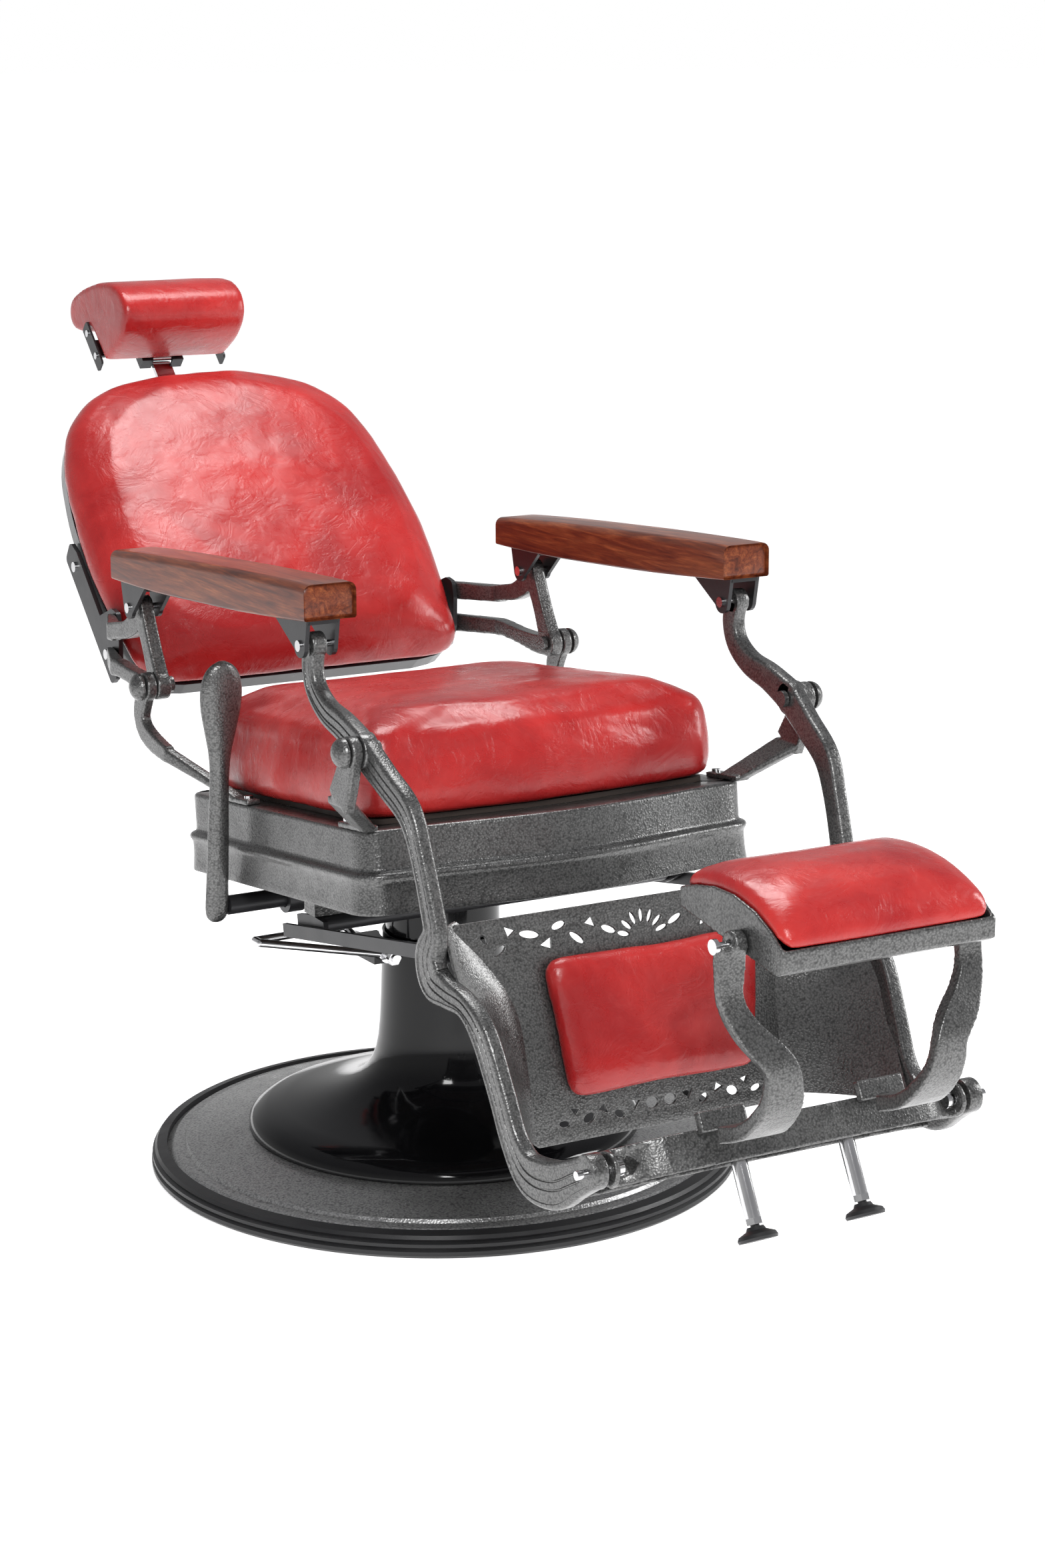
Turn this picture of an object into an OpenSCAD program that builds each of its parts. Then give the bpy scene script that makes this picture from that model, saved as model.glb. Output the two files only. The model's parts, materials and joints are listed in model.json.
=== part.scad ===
// Hydraulic barber chair: padded seat on a lifting column, with a backrest, two armrests and a
// leg rest that recline together, a folding footrest with a tilting tread, and a headrest.
// Millimetres. The chair faces -Y, +Z is up, and the origin is on the floor under the column.

/* [Base] */
// Outer diameter of the round base, with its rubber ring
base_d = 750; // [744:1:760]
// Diameter of the rim of the bell cover
bell_d = 500; // [490:1:504]
// Height of the top of the bell cover
bell_top_z = 300; // [297:1:304]

/* [Column] */
// Outer diameter of the sleeve that slides in the bell cover
sleeve_d = 145; // [140:1:145]
// Diameter of the hydraulic ram
ram_d = 60; // [56:1:62]

/* [Seat] */
// Width of the seat frame at its top
seat_w = 520; // [516:1:521]
// Depth of the seat frame, from its front corners to its rear edge
seat_depth = 497; // [492:1:500]
// Height of the seat frame's wall
apron_h = 98; // [94:1:98]
// Thickness of the seat cushion
cushion_h = 118; // [110:1:122]
// Backward tilt of the seat, in degrees
seat_tilt = 6; // [5.5:0.5:6.5]

/* [Backrest] */
// Angle of the backrest above the horizontal, in degrees
back_lean = 45; // [44:0.5:46]
// Largest width of the backrest
back_w = 510; // [500:1:512]
// Thickness of the back cushion at its edge
back_cushion_t = 52; // [46:1:56]

/* [Headrest] */
// Length of the headrest cushion, across the chair
head_w = 188; // [180:1:200]

/* [Arms] */
// Distance of each arm's middle plane from the chair's middle plane
arm_x = 286; // [285:1:288]
// Thickness of the cast arms
arm_t = 18; // [16:1:18]
// Width of the wooden armrests
wood_w = 66; // [62:1:68]

/* [Leg rest] */
// Height of the pierced panel, along its own slope
panel_h = 258; // [252:1:260]
// Inward slant of the lower arms, in degrees
arm_slant = 6.3; // [6:0.1:6.4]

/* [Footrest] */
// Width of the tread
tread_w = 263; // [256:1:264]
// Forward tilt of the footrest's legs, in degrees
leg_tilt = 27; // [25:1:28]

/* [Hidden] */
$fn = 72;

// Pivots, each as its place along Y and its height
rear_pivot = [215, 605];
front_pivot = [-353, 628];
rear_clevis = [262, 698];
front_clevis = [-232, 728];
link_pin = [-478, 420];
foot_hinge = [-768, 258];
tread_hinge = [-872, 513];
lever_axis = [50, 355];
// The pedal's axle, as its place along X and its height
pedal_axis = [-94, 284];

// Clearances: a pin that turns in its hole, and two faces that pass each other
turn_gap = 0.06;
side_gap = 1.5;

base_r = base_d / 2;
bell_r = bell_d / 2;
sleeve_r = sleeve_d / 2;
ram_r = ram_d / 2;
bolt_r = 5;
lug_r = 18;
plate_top_z = 46;
cylinder_r = 50;
cylinder_top_z = 282;
ram_top_z = 370;
spindle_r = 20;
hub_z = 384;

// Seat: height of its top plane over the column, and where its front and rear edges lie
seat_z = 488;
board_t = 6;
seat_front = -298;
seat_back = seat_front + seat_depth;
front_bow = 35;
wall_t = 7;
flange_w = 56;

// Side faces of an arm, and of the stanchion's lug outside it
arm_in = arm_x - arm_t / 2;
arm_out = arm_x + arm_t / 2;
lug_in = arm_out + side_gap;
lug_t = 13;
stanchion_x = 243;
link_x = 254;

// Backrest, measured from the rear pivot along its slope and square to it
shell_n = -192;
cushion_n = -152;
bar_n = -206;
head_s = 692;
head_n = -203;

panel_angle = 77.5;
panel_foot = [-520, 195];
panel_t = 5;
pad_t = 24;
wood_h = 34;
ear_gap = 40;
ear_t = 5;
leg_x = 69;
leg_r = 9;
stem_r = 5;

// A smooth curve through points of any dimension, n steps between two points
function blend4(a, b, c, d, t) =
    0.5 * (2 * b + (c - a) * t + (2 * a - 5 * b + 4 * c - d) * t * t
    + (3 * b - a - 3 * c + d) * t * t * t);
function curve(p, n) = concat(
    [for (i = [0:len(p) - 2]) for (k = [0:n - 1])
        blend4(p[max(i - 1, 0)], p[i], p[i + 1], p[min(i + 2, len(p) - 1)], k / n)],
    [p[len(p) - 1]]);
function heading(c, i) =
    let (a = c[max(i - 1, 0)], b = c[min(i + 1, len(c) - 1)]) atan2(b[1] - a[1], b[0] - a[0]);
function beside(c, i, k) =
    [c[i][0] - k * c[i][2] * sin(heading(c, i)), c[i][1] + k * c[i][2] * cos(heading(c, i))];
// Outline of a strap along points that are [place, place, half width]
function strap(p, n = 5) =
    let (c = curve(p, n), m = len(c) - 1)
    concat([for (i = [0:m]) beside(c, i, 1)], [for (i = [m:-1:0]) beside(c, i, -1)]);
function mirrored(p) = concat(p, [for (i = [len(p) - 1:-1:0]) [-p[i][0], p[i][1]]]);
function oval(at, a, b, turn) =
    [for (t = [0:20:340]) [at[0] + a * cos(t) * cos(turn) - b * sin(t) * sin(turn),
        at[1] + a * cos(t) * sin(turn) + b * sin(t) * cos(turn)]];

module on_right() { mirror([1, 0, 0]) children(); }
module both_sides() {
    children();
    mirror([1, 0, 0]) children();
}
// A side view, as [Y, Z], thickened along X from x
module side_view(x, t) { translate([x, 0, 0]) rotate([90, 0, 90]) linear_extrude(t) children(); }
module pin(x0, x1, at, r) {
    translate([x0, at[0], at[1]]) rotate([0, 90, 0]) cylinder(h = x1 - x0, r = r);
}
module rod(a, b, r) {
    d = b - a;
    translate(a) rotate([0, acos(d[2] / norm(d)), atan2(d[1], d[0])]) cylinder(h = norm(d), r = r);
    translate(b) sphere(r = r, $fn = 32);
}
module rounded(r) { offset(r = r) offset(delta = -r) children(); }
// The seat's own space: its top plane is z = 0 and it leans back with the seat
module seat_space() { translate([0, 0, seat_z]) rotate([-seat_tilt, 0, 0]) children(); }
// The backrest's own space: Y runs up its slope and Z stands square to its face
module back_space() {
    translate([0, rear_pivot[0], rear_pivot[1]]) rotate([back_lean, 0, 0]) children();
}
module panel_space() {
    translate([0, panel_foot[0], panel_foot[1]]) rotate([panel_angle, 0, 0]) children();
}
// The footrest's own space: its legs run down -Z from the foot hinge
module foot_space() {
    translate([0, foot_hinge[0], foot_hinge[1]]) rotate([-leg_tilt, 0, 0]) children();
}

// ---- Base ----
module base_plate() {
    rim = base_r - 20;
    color("dimgray") rotate_extrude()
        polygon([[58, plate_top_z], [bell_r - 5, plate_top_z], [bell_r + 12, 44], [300, 38],
            [330, 33], [333, 29], [rim - 9, 28], [rim, 22], [rim, 4], [rim - 9, 4], [rim - 11, 17],
            [330, 20], [300, 26], [bell_r + 12, 32], [bell_r - 5, 34], [58, 34]]);
}
module base_ring() {
    lip = base_r - 28;
    color("black") rotate_extrude()
        polygon([[lip, 0], [base_r - 4, 0], [base_r, 4], [base_r, 9], [base_r - 3.5, 11.5],
            [base_r - 1, 14], [base_r - 1, 18], [base_r - 6, 20.5], [base_r - 4, 23],
            [base_r - 7, 27], [base_r - 19.8, 29.5], [base_r - 19.8, 3.8], [lip, 3.8]]);
}
module bell_cover() {
    half_t = 2;
    color("black") rotate_extrude()
        polygon(strap([[bell_r - half_t, plate_top_z + 0.2, half_t], [bell_r - half_t, 54, half_t],
            [bell_r - 9, 63, half_t], [227, 70, half_t], [190, 81, half_t], [148, 93, half_t],
            [118, 106, half_t], [100, 118, half_t], [90, 134, half_t], [85, 160, half_t],
            [82, 195, half_t], [79, 245, half_t], [77, bell_top_z, half_t]], 3));
}
module pump_cylinder() {
    floor_t = 14;
    color("gray") difference() {
        union() {
            cylinder(h = cylinder_top_z, r = cylinder_r);
            translate([0, 0, plate_top_z]) cylinder(h = 10, r = 95);
        }
        translate([0, 0, floor_t]) cylinder(h = cylinder_top_z, r = ram_r + 3);
    }
}
module cylinder_gland() {
    color("silver") difference() {
        union() {
            translate([0, 0, cylinder_top_z]) cylinder(h = 12, r = cylinder_r);
            translate([0, 0, cylinder_top_z - 20]) cylinder(h = 20.1, r = ram_r + 2.9);
        }
        translate([0, 0, cylinder_top_z - 21]) cylinder(h = 40, r = ram_r + turn_gap);
    }
}
module pedal_bracket() {
    color("black") difference() {
        translate([pedal_axis[0] - 12, -16, 270]) cube([34, 60, 26]);
        translate([0, 0, 260]) cylinder(h = 50, r = 80.8);
        translate([pedal_axis[0], -20, pedal_axis[1]]) rotate([-90, 0, 0])
            cylinder(h = 70, r = bolt_r + 0.02);
    }
}
module pedal_axle() {
    nut_r = 9;
    color("silver") translate([pedal_axis[0], 0, pedal_axis[1]]) rotate([90, 0, 0]) {
        translate([0, 0, -64]) cylinder(h = 116, r = bolt_r);
        translate([0, 0, 41]) cylinder(h = 8, r = nut_r, $fn = 6);
        translate([0, 0, -67]) cylinder(h = 6, r = nut_r);
    }
}
module pump_pedal() {
    hub_r = 10;
    rod_r = 5;
    tip = [-249, 12, 312];
    front_hub = [pedal_axis[0], -25, pedal_axis[1]];
    rear_hub = [pedal_axis[0], 53, pedal_axis[1]];
    rear_bend = [-112, 53, 304];
    color("silver") difference() {
        union() {
            for (hub = [front_hub, rear_hub])
                translate(hub + [0, 6, 0]) rotate([90, 0, 0]) cylinder(h = 12, r = hub_r);
            rod(front_hub, tip, rod_r);
            rod(tip, tip + [0, 14, 0], rod_r);
            rod(tip + [0, 14, 0], rear_bend, rod_r);
            rod(rear_bend, rear_hub, rod_r);
        }
        translate([pedal_axis[0], -60, pedal_axis[1]]) rotate([-90, 0, 0])
            cylinder(h = 140, r = bolt_r + turn_gap);
    }
}

// ---- Lifting column ----
module ram() {
    piston_h = 20;
    color("silver") {
        translate([0, 0, 16]) cylinder(h = piston_h, r = ram_r + 2.9);
        translate([0, 0, 16]) cylinder(h = ram_top_z - 16, r = ram_r);
        cylinder_from(ram_top_z - 1, hub_z + 12, spindle_r);
    }
}
module cylinder_from(z0, z1, r) { translate([0, 0, z0]) cylinder(h = z1 - z0, r = r); }
module lift_sleeve() {
    cap_t = 6;
    color("black") difference() {
        cylinder_from(150, ram_top_z + cap_t, sleeve_r);
        cylinder_from(140, ram_top_z, sleeve_r - 4);
        cylinder_from(140, ram_top_z + 20, spindle_r + 0.1);
    }
}
module thrust_bearing() {
    color("silver") difference() {
        cylinder_from(ram_top_z + 6, hub_z - 0.4, 55);
        cylinder_from(ram_top_z, hub_z, spindle_r + 0.1);
    }
}

// ---- Seat ----
module swivel_hub() {
    reach = seat_w / 2 - wall_t - 0.5;
    color("dimgray") difference() {
        union() {
            cylinder_from(hub_z, hub_z + 10, 88);
            cylinder_from(hub_z, hub_z + 18, 36);
            for (y = [-150, 92]) translate([-reach, y, hub_z]) cube([2 * reach, 28, 20]);
            for (x = [-70, 50]) translate([x, -130, hub_z]) cube([20, 230, 16]);
        }
        cylinder_from(hub_z - 1, hub_z + 30, spindle_r + turn_gap);
    }
}
// Plan of the seat frame, grown by g: straight sides and a bowed, wavy front
module seat_plan(g) {
    half = seat_w / 2 + g;
    steps = 14;
    rounded(28 + g / 2) polygon(concat(
        [for (i = [-steps:steps]) [half * i / steps,
            seat_front - g - front_bow * (0.5 + 0.5 * cos(180 * i / steps))]],
        [[half, seat_back + g], [-half, seat_back + g]]));
}
module seat_layer(z0, z1, g) { translate([0, 0, z0]) linear_extrude(z1 - z0) seat_plan(g); }
foot_bolts = [[stanchion_x + 9.5, -244], [stanchion_x + 9.5, 28]];
module foot_bolt_holes() {
    for (at = foot_bolts) translate([at[0], at[1], -20]) cylinder(h = 40, r = 3, $fn = 24);
}
module seat_frame() {
    bead_z = 0.55 * apron_h;
    color("dimgray") seat_space() difference() {
        union() {
            seat_layer(-apron_h, -bead_z - 9, 6);
            seat_layer(-bead_z - 10, -bead_z, 9);
            seat_layer(-bead_z - 1, 0, 0);
        }
        seat_layer(-apron_h - 1, -8, -wall_t);
        seat_layer(-9, 1, -flange_w);
        both_sides() foot_bolt_holes();
    }
}
module cushion_plan(g) {
    half = 241 + g;
    steps = 8;
    rounded(32 + g) polygon(concat(
        [for (i = [-steps:steps]) [half * i / steps,
            -277 - g - 20 * (0.5 + 0.5 * cos(180 * i / steps))]],
        [[half, 196 + g], [-half, 196 + g]]));
}
module seat_board() {
    color("tan") seat_space() translate([0, 0, 0.1]) linear_extrude(board_t) cushion_plan(-16);
}
module seat_cushion() {
    color("firebrick") seat_space() translate([0, 0, board_t + 0.2]) hull() {
        linear_extrude(1) cushion_plan(-4);
        translate([0, 0, cushion_h / 2]) linear_extrude(1) cushion_plan(0);
        translate([0, 0, cushion_h - 14]) linear_extrude(1) cushion_plan(-6);
        translate([0, 0, cushion_h]) linear_extrude(1) cushion_plan(-24);
    }
}
module front_stanchion() {
    color("dimgray") difference() {
        union() {
            side_view(lug_in, lug_t) polygon(strap([[-352, 628, 17], [-346, 606, 18], [-338, 588, 20],
                [-326, 566, 22]], 3));
            pin(lug_in, lug_in + lug_t, front_pivot, lug_r);
            hull() {
                translate([lug_in + 0.5, -348, 562]) cube([lug_t - 1, 44, 8]);
                translate([stanchion_x + 0.5, -298, 519.5]) cube([16, 36, 3]);
            }
            seat_space() translate([stanchion_x, -302, 0]) cube([19, 68, 7]);
        }
        pin(lug_in - 1, lug_in + lug_t + 1, front_pivot, bolt_r + 0.02);
        seat_space() foot_bolt_holes();
    }
}
module rear_stanchion() {
    color("dimgray") difference() {
        union() {
            side_view(lug_in, lug_t) polygon(strap([[216, 605, 15], [228, 584, 15], [234, 564, 14],
                [222, 546, 13], [190, 535, 12], [152, 529, 10]], 2));
            pin(lug_in, lug_in + lug_t, rear_pivot, lug_r);
            hull() {
                translate([lug_in + 0.5, 150, 521]) cube([lug_t - 1, 12, 15]);
                translate([stanchion_x + 0.5, 52, 484]) cube([16, 28, 4]);
            }
            seat_space() translate([stanchion_x, 14, 0]) cube([19, 70, 7]);
        }
        pin(lug_in - 1, lug_in + lug_t + 1, rear_pivot, bolt_r + 0.02);
        seat_space() foot_bolt_holes();
    }
}
module front_stanchion_left() { front_stanchion(); }
module front_stanchion_right() { on_right() front_stanchion(); }
module rear_stanchion_left() { rear_stanchion(); }
module rear_stanchion_right() { on_right() rear_stanchion(); }
module stanchion_bolts() {
    color("silver") both_sides() seat_space() for (at = foot_bolts) {
        translate([at[0], at[1], -12]) cylinder(h = 20, r = 2.95, $fn = 24);
        translate([at[0], at[1], 7]) cylinder(h = 3.5, r = 5.5, $fn = 24);
    }
}
module pivot_bolts() {
    nut_t = 6;
    nut_x = arm_in - 2 - nut_t;
    cap_r = 17.5;
    color("dimgray") both_sides() for (at = [front_pivot, rear_pivot]) {
        pin(nut_x, lug_in + lug_t + 1, at, bolt_r);
        pin(nut_x, nut_x + nut_t, at, 10);
        translate([lug_in + lug_t + 0.1, at[0], at[1]]) rotate([0, 90, 0])
            rotate_extrude() polygon(concat([[0, 0]],
                [for (t = [0:10:90]) [cap_r * cos(t), 3 + (cap_r - 4) * sin(t)]]));
    }
}
module recline_lock() {
    cheek_x = 246;
    color("black") {
        pin(-cheek_x, cheek_x, [-136, hub_z - 12.1], 12);
        both_sides() side_view(cheek_x - 1, 6)
            polygon(strap([[-170, 378, 4], [-136, 370, 13], [-100, 364, 12]], 3));
    }
}
module lever_bracket() {
    color("black") on_right() difference() {
        union() {
            translate([176, lever_axis[0] - 20, lever_axis[1]]) cube([22, 40, 26]);
            pin(176, 198, lever_axis, 20);
            translate([176, lever_axis[0] - 20, hub_z - 6.1]) cube([22, 98, 6]);
        }
        pin(170, 210, lever_axis, 13 + turn_gap);
    }
}

// ---- Recline lever ----
lever_x = 289;
lever_lean = 5.9;
module recline_lever() {
    stem_t = 20;
    color("dimgray") on_right() translate([lever_x, lever_axis[0], lever_axis[1]])
        rotate([lever_lean, 0, 0]) translate([0, stem_t / 2, 0]) rotate([90, 0, 0]) linear_extrude(stem_t)
            polygon(strap([[0, -19, 5], [0, -12, 13], [0, 0, 14], [0, 60, 13], [2, 130, 11],
                [2, 175, 11], [1, 215, 16], [0, 260, 25], [0, 290, 26], [0, 308, 18], [0, 314, 6]]));
}
module lever_shaft() {
    color("black") on_right() pin(150, lever_x - 14.1, lever_axis, 12);
}

// ---- Backrest ----
back_curve = [[180, 88], [222, 96], [236, 118], [243, 150], [250, 200], [254, 250], [255, 310],
    [253, 370], [246, 425], [236, 475], [216, 522], [180, 562], [130, 588], [70, 602], [0, 606]];
module back_plan(g) {
    k = (back_w / 2 + g) / 255;
    rounded(8) polygon(mirrored([for (p = curve(back_curve, 3)) [p[0] * k, p[1] + g * (p[1] - 340) / 260]]));
}
module back_shell() {
    color("black") back_space() hull() {
        translate([0, 0, shell_n]) linear_extrude(1) back_plan(-28);
        translate([0, 0, shell_n + 16]) linear_extrude(1) back_plan(-9);
        translate([0, 0, cushion_n - 1.5]) linear_extrude(1) back_plan(-7);
    }
}
module back_cushion() {
    color("firebrick") back_space() hull() {
        translate([0, 0, cushion_n]) linear_extrude(1) back_plan(-4);
        translate([0, 0, cushion_n + 0.6 * back_cushion_t]) linear_extrude(1) back_plan(-2);
        translate([0, 0, cushion_n + back_cushion_t]) linear_extrude(1) back_plan(-40);
    }
}
plate_x = 248.5;
module rear_arm() {
    branch_top = [[rear_clevis[0], rear_clevis[1] + 12, 6], [260, 700, 13], [268, 682, 15],
        [300, 664, 12], [335, 657, 11], [362, 652, 11]];
    branch_low = [[rear_pivot[0] - 4, rear_pivot[1], 16], [240, 600, 13], [290, 603, 10],
        [330, 606, 10], [355, 606, 11]];
    limb = [[rear_clevis[0], rear_clevis[1], 14], [246, 668, 12], [232, 640, 12],
        [rear_pivot[0], rear_pivot[1], 16]];
    color("dimgray") difference() {
        union() {
            side_view(arm_in, arm_t) {
                polygon(strap(limb));
                polygon(strap(branch_top));
                polygon(strap(branch_low));
                translate(rear_clevis) circle(r = 15);
            }
            pin(arm_in, arm_out, rear_pivot, lug_r);
            hull() {
                translate([arm_in + 4, 348, 641]) cube([arm_t - 4, 14, 22]);
                translate([plate_x + 6.2, 428, 636]) cube([6, 14, 24]);
            }
            hull() {
                translate([arm_in + 4, 341, 596]) cube([arm_t - 4, 14, 21]);
                translate([plate_x + 6.2, 434, 590]) cube([6, 14, 24]);
            }
        }
        pin(arm_in - 1, arm_out + 1, rear_pivot, bolt_r + turn_gap);
        pin(arm_in - 1, arm_out + 1, rear_clevis, 4 + turn_gap);
    }
}
module rear_arm_left() { rear_arm(); }
module rear_arm_right() { on_right() rear_arm(); }
screw_s = [172, 318];
module back_plate() {
    color("black") back_space() difference() {
        translate([plate_x, 0, 0]) rotate([90, 0, 90]) linear_extrude(6)
            rounded(8) polygon([[136, -196], [346, -196], [352, -166], [328, -158], [222, -158], [204, -118],
                [189, -108], [170, -120], [142, -150], [132, -178]]);
        for (s = screw_s) pin(plate_x - 1, plate_x + 8, [s, -177], 3);
    }
}
module back_plate_left() { back_plate(); }
module back_plate_right() { on_right() back_plate(); }
module back_screws() {
    color("silver") both_sides() back_space() for (s = screw_s) {
        pin(plate_x, plate_x + 6, [s, -177], 2.95);
        pin(plate_x + 6, plate_x + 9, [s, -177], 7);
    }
}

// ---- Headrest ----
bar_w = 28;
bar_t = 6;
module headrest_socket() {
    color("black") back_space() difference() {
        translate([-bar_w / 2 - 8, 360, bar_n - 8]) cube([bar_w + 16, 190, shell_n - bar_n + 7.8]);
        translate([-bar_w / 2 - 0.4, 350, bar_n - bar_t / 2 - 0.4]) cube([bar_w + 0.8, 220, bar_t + 0.8]);
    }
}
module headrest_bar() {
    color("silver") back_space() difference() {
        union() {
            translate([-bar_w / 2, 385, bar_n - bar_t / 2]) cube([bar_w, head_s - 385, bar_t]);
            pin(-bar_w / 2, bar_w / 2, [head_s, head_n], 9);
        }
        pin(-bar_w, bar_w, [head_s, head_n], 4 + turn_gap);
    }
}
module headrest_frame() {
    half = head_w / 2;
    color("black") back_space() difference() {
        union() {
            pin(-32, 32, [head_s, head_n], 4);
            for (x = [-32, bar_w / 2 + 1]) translate([x, head_s - 10, head_n - 9]) cube([17, 52, 17]);
            translate([-half, head_s + 14, head_n - 9]) cube([2 * half, 30, 4]);
            both_sides() translate([half, 0, 0]) rotate([90, 0, 90]) linear_extrude(3)
                rounded(4) polygon([[head_s - 12, head_n - 9], [head_s + 66, head_n - 9],
                    [head_s + 66, head_n + 12], [head_s - 12, head_n + 12]]);
        }
        both_sides() for (s = [8, 50]) pin(half - 1, half + 5, [head_s + s, head_n + 3], 2.5);
    }
}
head_outline = [[680, -188], [664, -130], [668, -88], [694, -72], [730, -84], [766, -118],
    [800, -168], [822, -214], [818, -238], [798, -246], [772, -230], [754, -210], [744, -190]];
module headrest_cushion() {
    color("firebrick") back_space() translate([-head_w / 2 + 0.5, 0, 0]) rotate([90, 0, 90])
        linear_extrude(head_w - 1) rounded(6) polygon(curve(head_outline, 3));
}
module headrest_screws() {
    half = head_w / 2;
    color("silver") back_space() both_sides() for (s = [8, 50]) {
        pin(half, half + 3, [head_s + s, head_n + 3], 2.45);
        pin(half + 3, half + 5, [head_s + s, head_n + 3], 5);
    }
}

// ---- Leg rest ----
upper_arm = [[front_clevis[0], front_clevis[1], 14], [-226, 702, 14], [-236, 676, 14],
    [-266, 656, 15], [-308, 645, 17], [front_pivot[0], front_pivot[1], 20]];
lower_arm = [[front_pivot[0], front_pivot[1], 20], [-395, 602, 18], [-440, 573, 17],
    [-462, 530, 14], [-481, 474, 14.5], [-487, 448, 16], [-478, 420, 23], [-486, 396, 24],
    [-512, 387, 17], [-547, 380, 14], [-578, 354, 18], [-608, 300, 18], [-632, 252, 19],
    [-662, 224, 25], [-706, 225, 26], [-742, 243, 21], [foot_hinge[0], foot_hinge[1], 19]];
slot_r = 10;
// The lower arm leans inwards from the front pivot
module slanted() {
    translate([arm_x, front_pivot[0], 0]) rotate([0, 0, -arm_slant])
        translate([-arm_x, -front_pivot[0], 0]) children();
}
module front_arm() {
    color("dimgray") difference() {
        union() {
            side_view(arm_in, arm_t) {
                polygon(strap(upper_arm));
                translate(front_clevis) circle(r = 16);
            }
            slanted() side_view(arm_in, arm_t) {
                polygon(strap(lower_arm));
                translate(foot_hinge) circle(r = 19);
            }
            pin(arm_in, arm_out, front_pivot, lug_r + 2);
        }
        pin(arm_in - 2, arm_out + 2, front_pivot, bolt_r + turn_gap);
        pin(arm_in - 2, arm_out + 2, front_clevis, slot_r);
        pin(arm_in - 80, arm_out + 2, link_pin, 4);
        pin(arm_in - 80, arm_out + 2, foot_hinge, bolt_r);
    }
}
module front_arm_left() { front_arm(); }
module front_arm_right() { on_right() front_arm(); }
// Pierced bands above and below the pad: petals round the middle, then ovals and wedges
band_top = panel_h - 26;
band_low = 24;
module wedge(at, a, turn) {
    translate(at) rotate(turn) polygon([[-a, -0.6 * a], [a, -0.5 * a], [0.1 * a, 0.8 * a]]);
}
module piercings() {
    for (t = [-75:25:75]) polygon(oval([26 * sin(t), band_top - 18 + 24 * cos(t)], 3.6, 9, -t));
    both_sides() {
        polygon(oval([44, band_top - 4], 11, 4.5, 24));
        wedge([66, band_top + 8], 9, 20);
        polygon(oval([86, band_top - 8], 12, 4.5, 38));
        polygon(oval([108, band_top + 9], 10, 5, -12));
        wedge([124, band_top - 10], 10, 150);
        polygon(oval([146, band_top + 4], 14, 5, 12));
        wedge([172, band_top + 10], 9, 200);
        polygon(oval([186, band_top - 9], 10, 4.5, -30));
        polygon(oval([204, band_top + 6], 7, 4, 60));
        polygon(oval([12, band_low + 2], 9, 7, 0));
        wedge([36, band_low + 4], 9, 185);
        polygon(oval([56, band_low - 4], 8, 5, 30));
        wedge([76, band_low + 6], 8, 20);
        polygon(oval([96, band_low - 2], 9, 6, -20));
        wedge([114, band_low + 8], 7, 190);
        polygon(oval([128, band_low - 4], 8, 4.5, 10));
    }
}
module cove(a, b, c) {
    hull() for (at = [a, b, c]) translate(at) sphere(r = 2.5, $fn = 16);
}
module legrest_panel() {
    top_in = [237, -464, 444];
    low_in = [160, -522, 199];
    top_out = [252, -512, 420];
    low_out = [238, -652, 236];
    color("dimgray") {
        panel_space() linear_extrude(panel_t) difference() {
            rounded(5) polygon(mirrored([[0, panel_h], [241, panel_h], [236, panel_h - 34],
                [200, 130], [166, 0], [0, 0]]));
            piercings();
        }
        both_sides() {
            cove(top_in, low_in, low_out);
            cove(top_in, top_out, low_out);
        }
    }
}
module legrest_pad() {
    color("firebrick") panel_space() translate([0, 0, panel_t + 0.2]) linear_extrude(pad_t)
        rounded(16) polygon([[-124, 49], [124, 49], [139, 206], [-139, 206]]);
}
module link_bolts() {
    color("silver") both_sides() {
        pin(link_x - 2, 276, link_pin, 3.95);
        pin(link_x - 7, link_x - 2, link_pin, 8);
    }
}

// ---- Armrests ----
module wood_side() {
    polygon(concat([[-256, 760], [-100, 747], [20, 740], [160, 733], [286, 731], [294, 737]],
        [[296, 758], [286, 768], [200, 775], [80, 784], [-100, 795], [-250, 802], [-257, 796]]));
}
module armrest() {
    color("saddlebrown") side_view(arm_x - 6 - wood_w / 2, wood_w) wood_side();
}
module armrest_left() { armrest(); }
module armrest_right() { on_right() armrest(); }
module clevis_ear(at, reach) {
    polygon(concat([for (t = [200:20:340]) [at[0] + 14 * cos(t), at[1] + 14 * sin(t)]], reach));
}
module armrest_clevis() {
    front_top = [[-170, 752.5], [-252, 759]];
    rear_top = [[284, 730.5], [208, 730.5]];
    color("dimgray") difference() {
        union() {
            for (x = [arm_x - ear_gap / 2 - ear_t / 2, arm_x + ear_gap / 2 - ear_t / 2 - 3])
                side_view(x, ear_t) {
                    clevis_ear(front_clevis, front_top);
                    clevis_ear(rear_clevis, rear_top);
                }
            side_view(arm_x - ear_gap / 2, ear_gap - 4) {
                polygon([[-172, 748], [-171, 752.5], [-252, 759], [-252, 754]]);
                polygon([[284, 726], [284, 730.5], [208, 730.5], [208, 726]]);
            }
        }
        for (at = [front_clevis, rear_clevis]) pin(arm_x - 40, arm_x + 40, at, 4);
    }
}
module armrest_clevis_left() { armrest_clevis(); }
module armrest_clevis_right() { on_right() armrest_clevis(); }
module clevis_pins() {
    color("silver") for (at = [front_clevis, rear_clevis]) {
        pin(arm_x - ear_gap / 2 - ear_t / 2 - 1, arm_x + ear_gap / 2, at, 3.98);
        pin(arm_x + ear_gap / 2 - 0.5, arm_x + ear_gap / 2 + 2, at, 6.5);
        pin(arm_x - ear_gap / 2 - ear_t / 2 - 3, arm_x - ear_gap / 2 - ear_t / 2, at, 6.5);
    }
}

module clevis_pins_left() { clevis_pins(); }
module clevis_pins_right() { on_right() clevis_pins(); }

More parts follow.
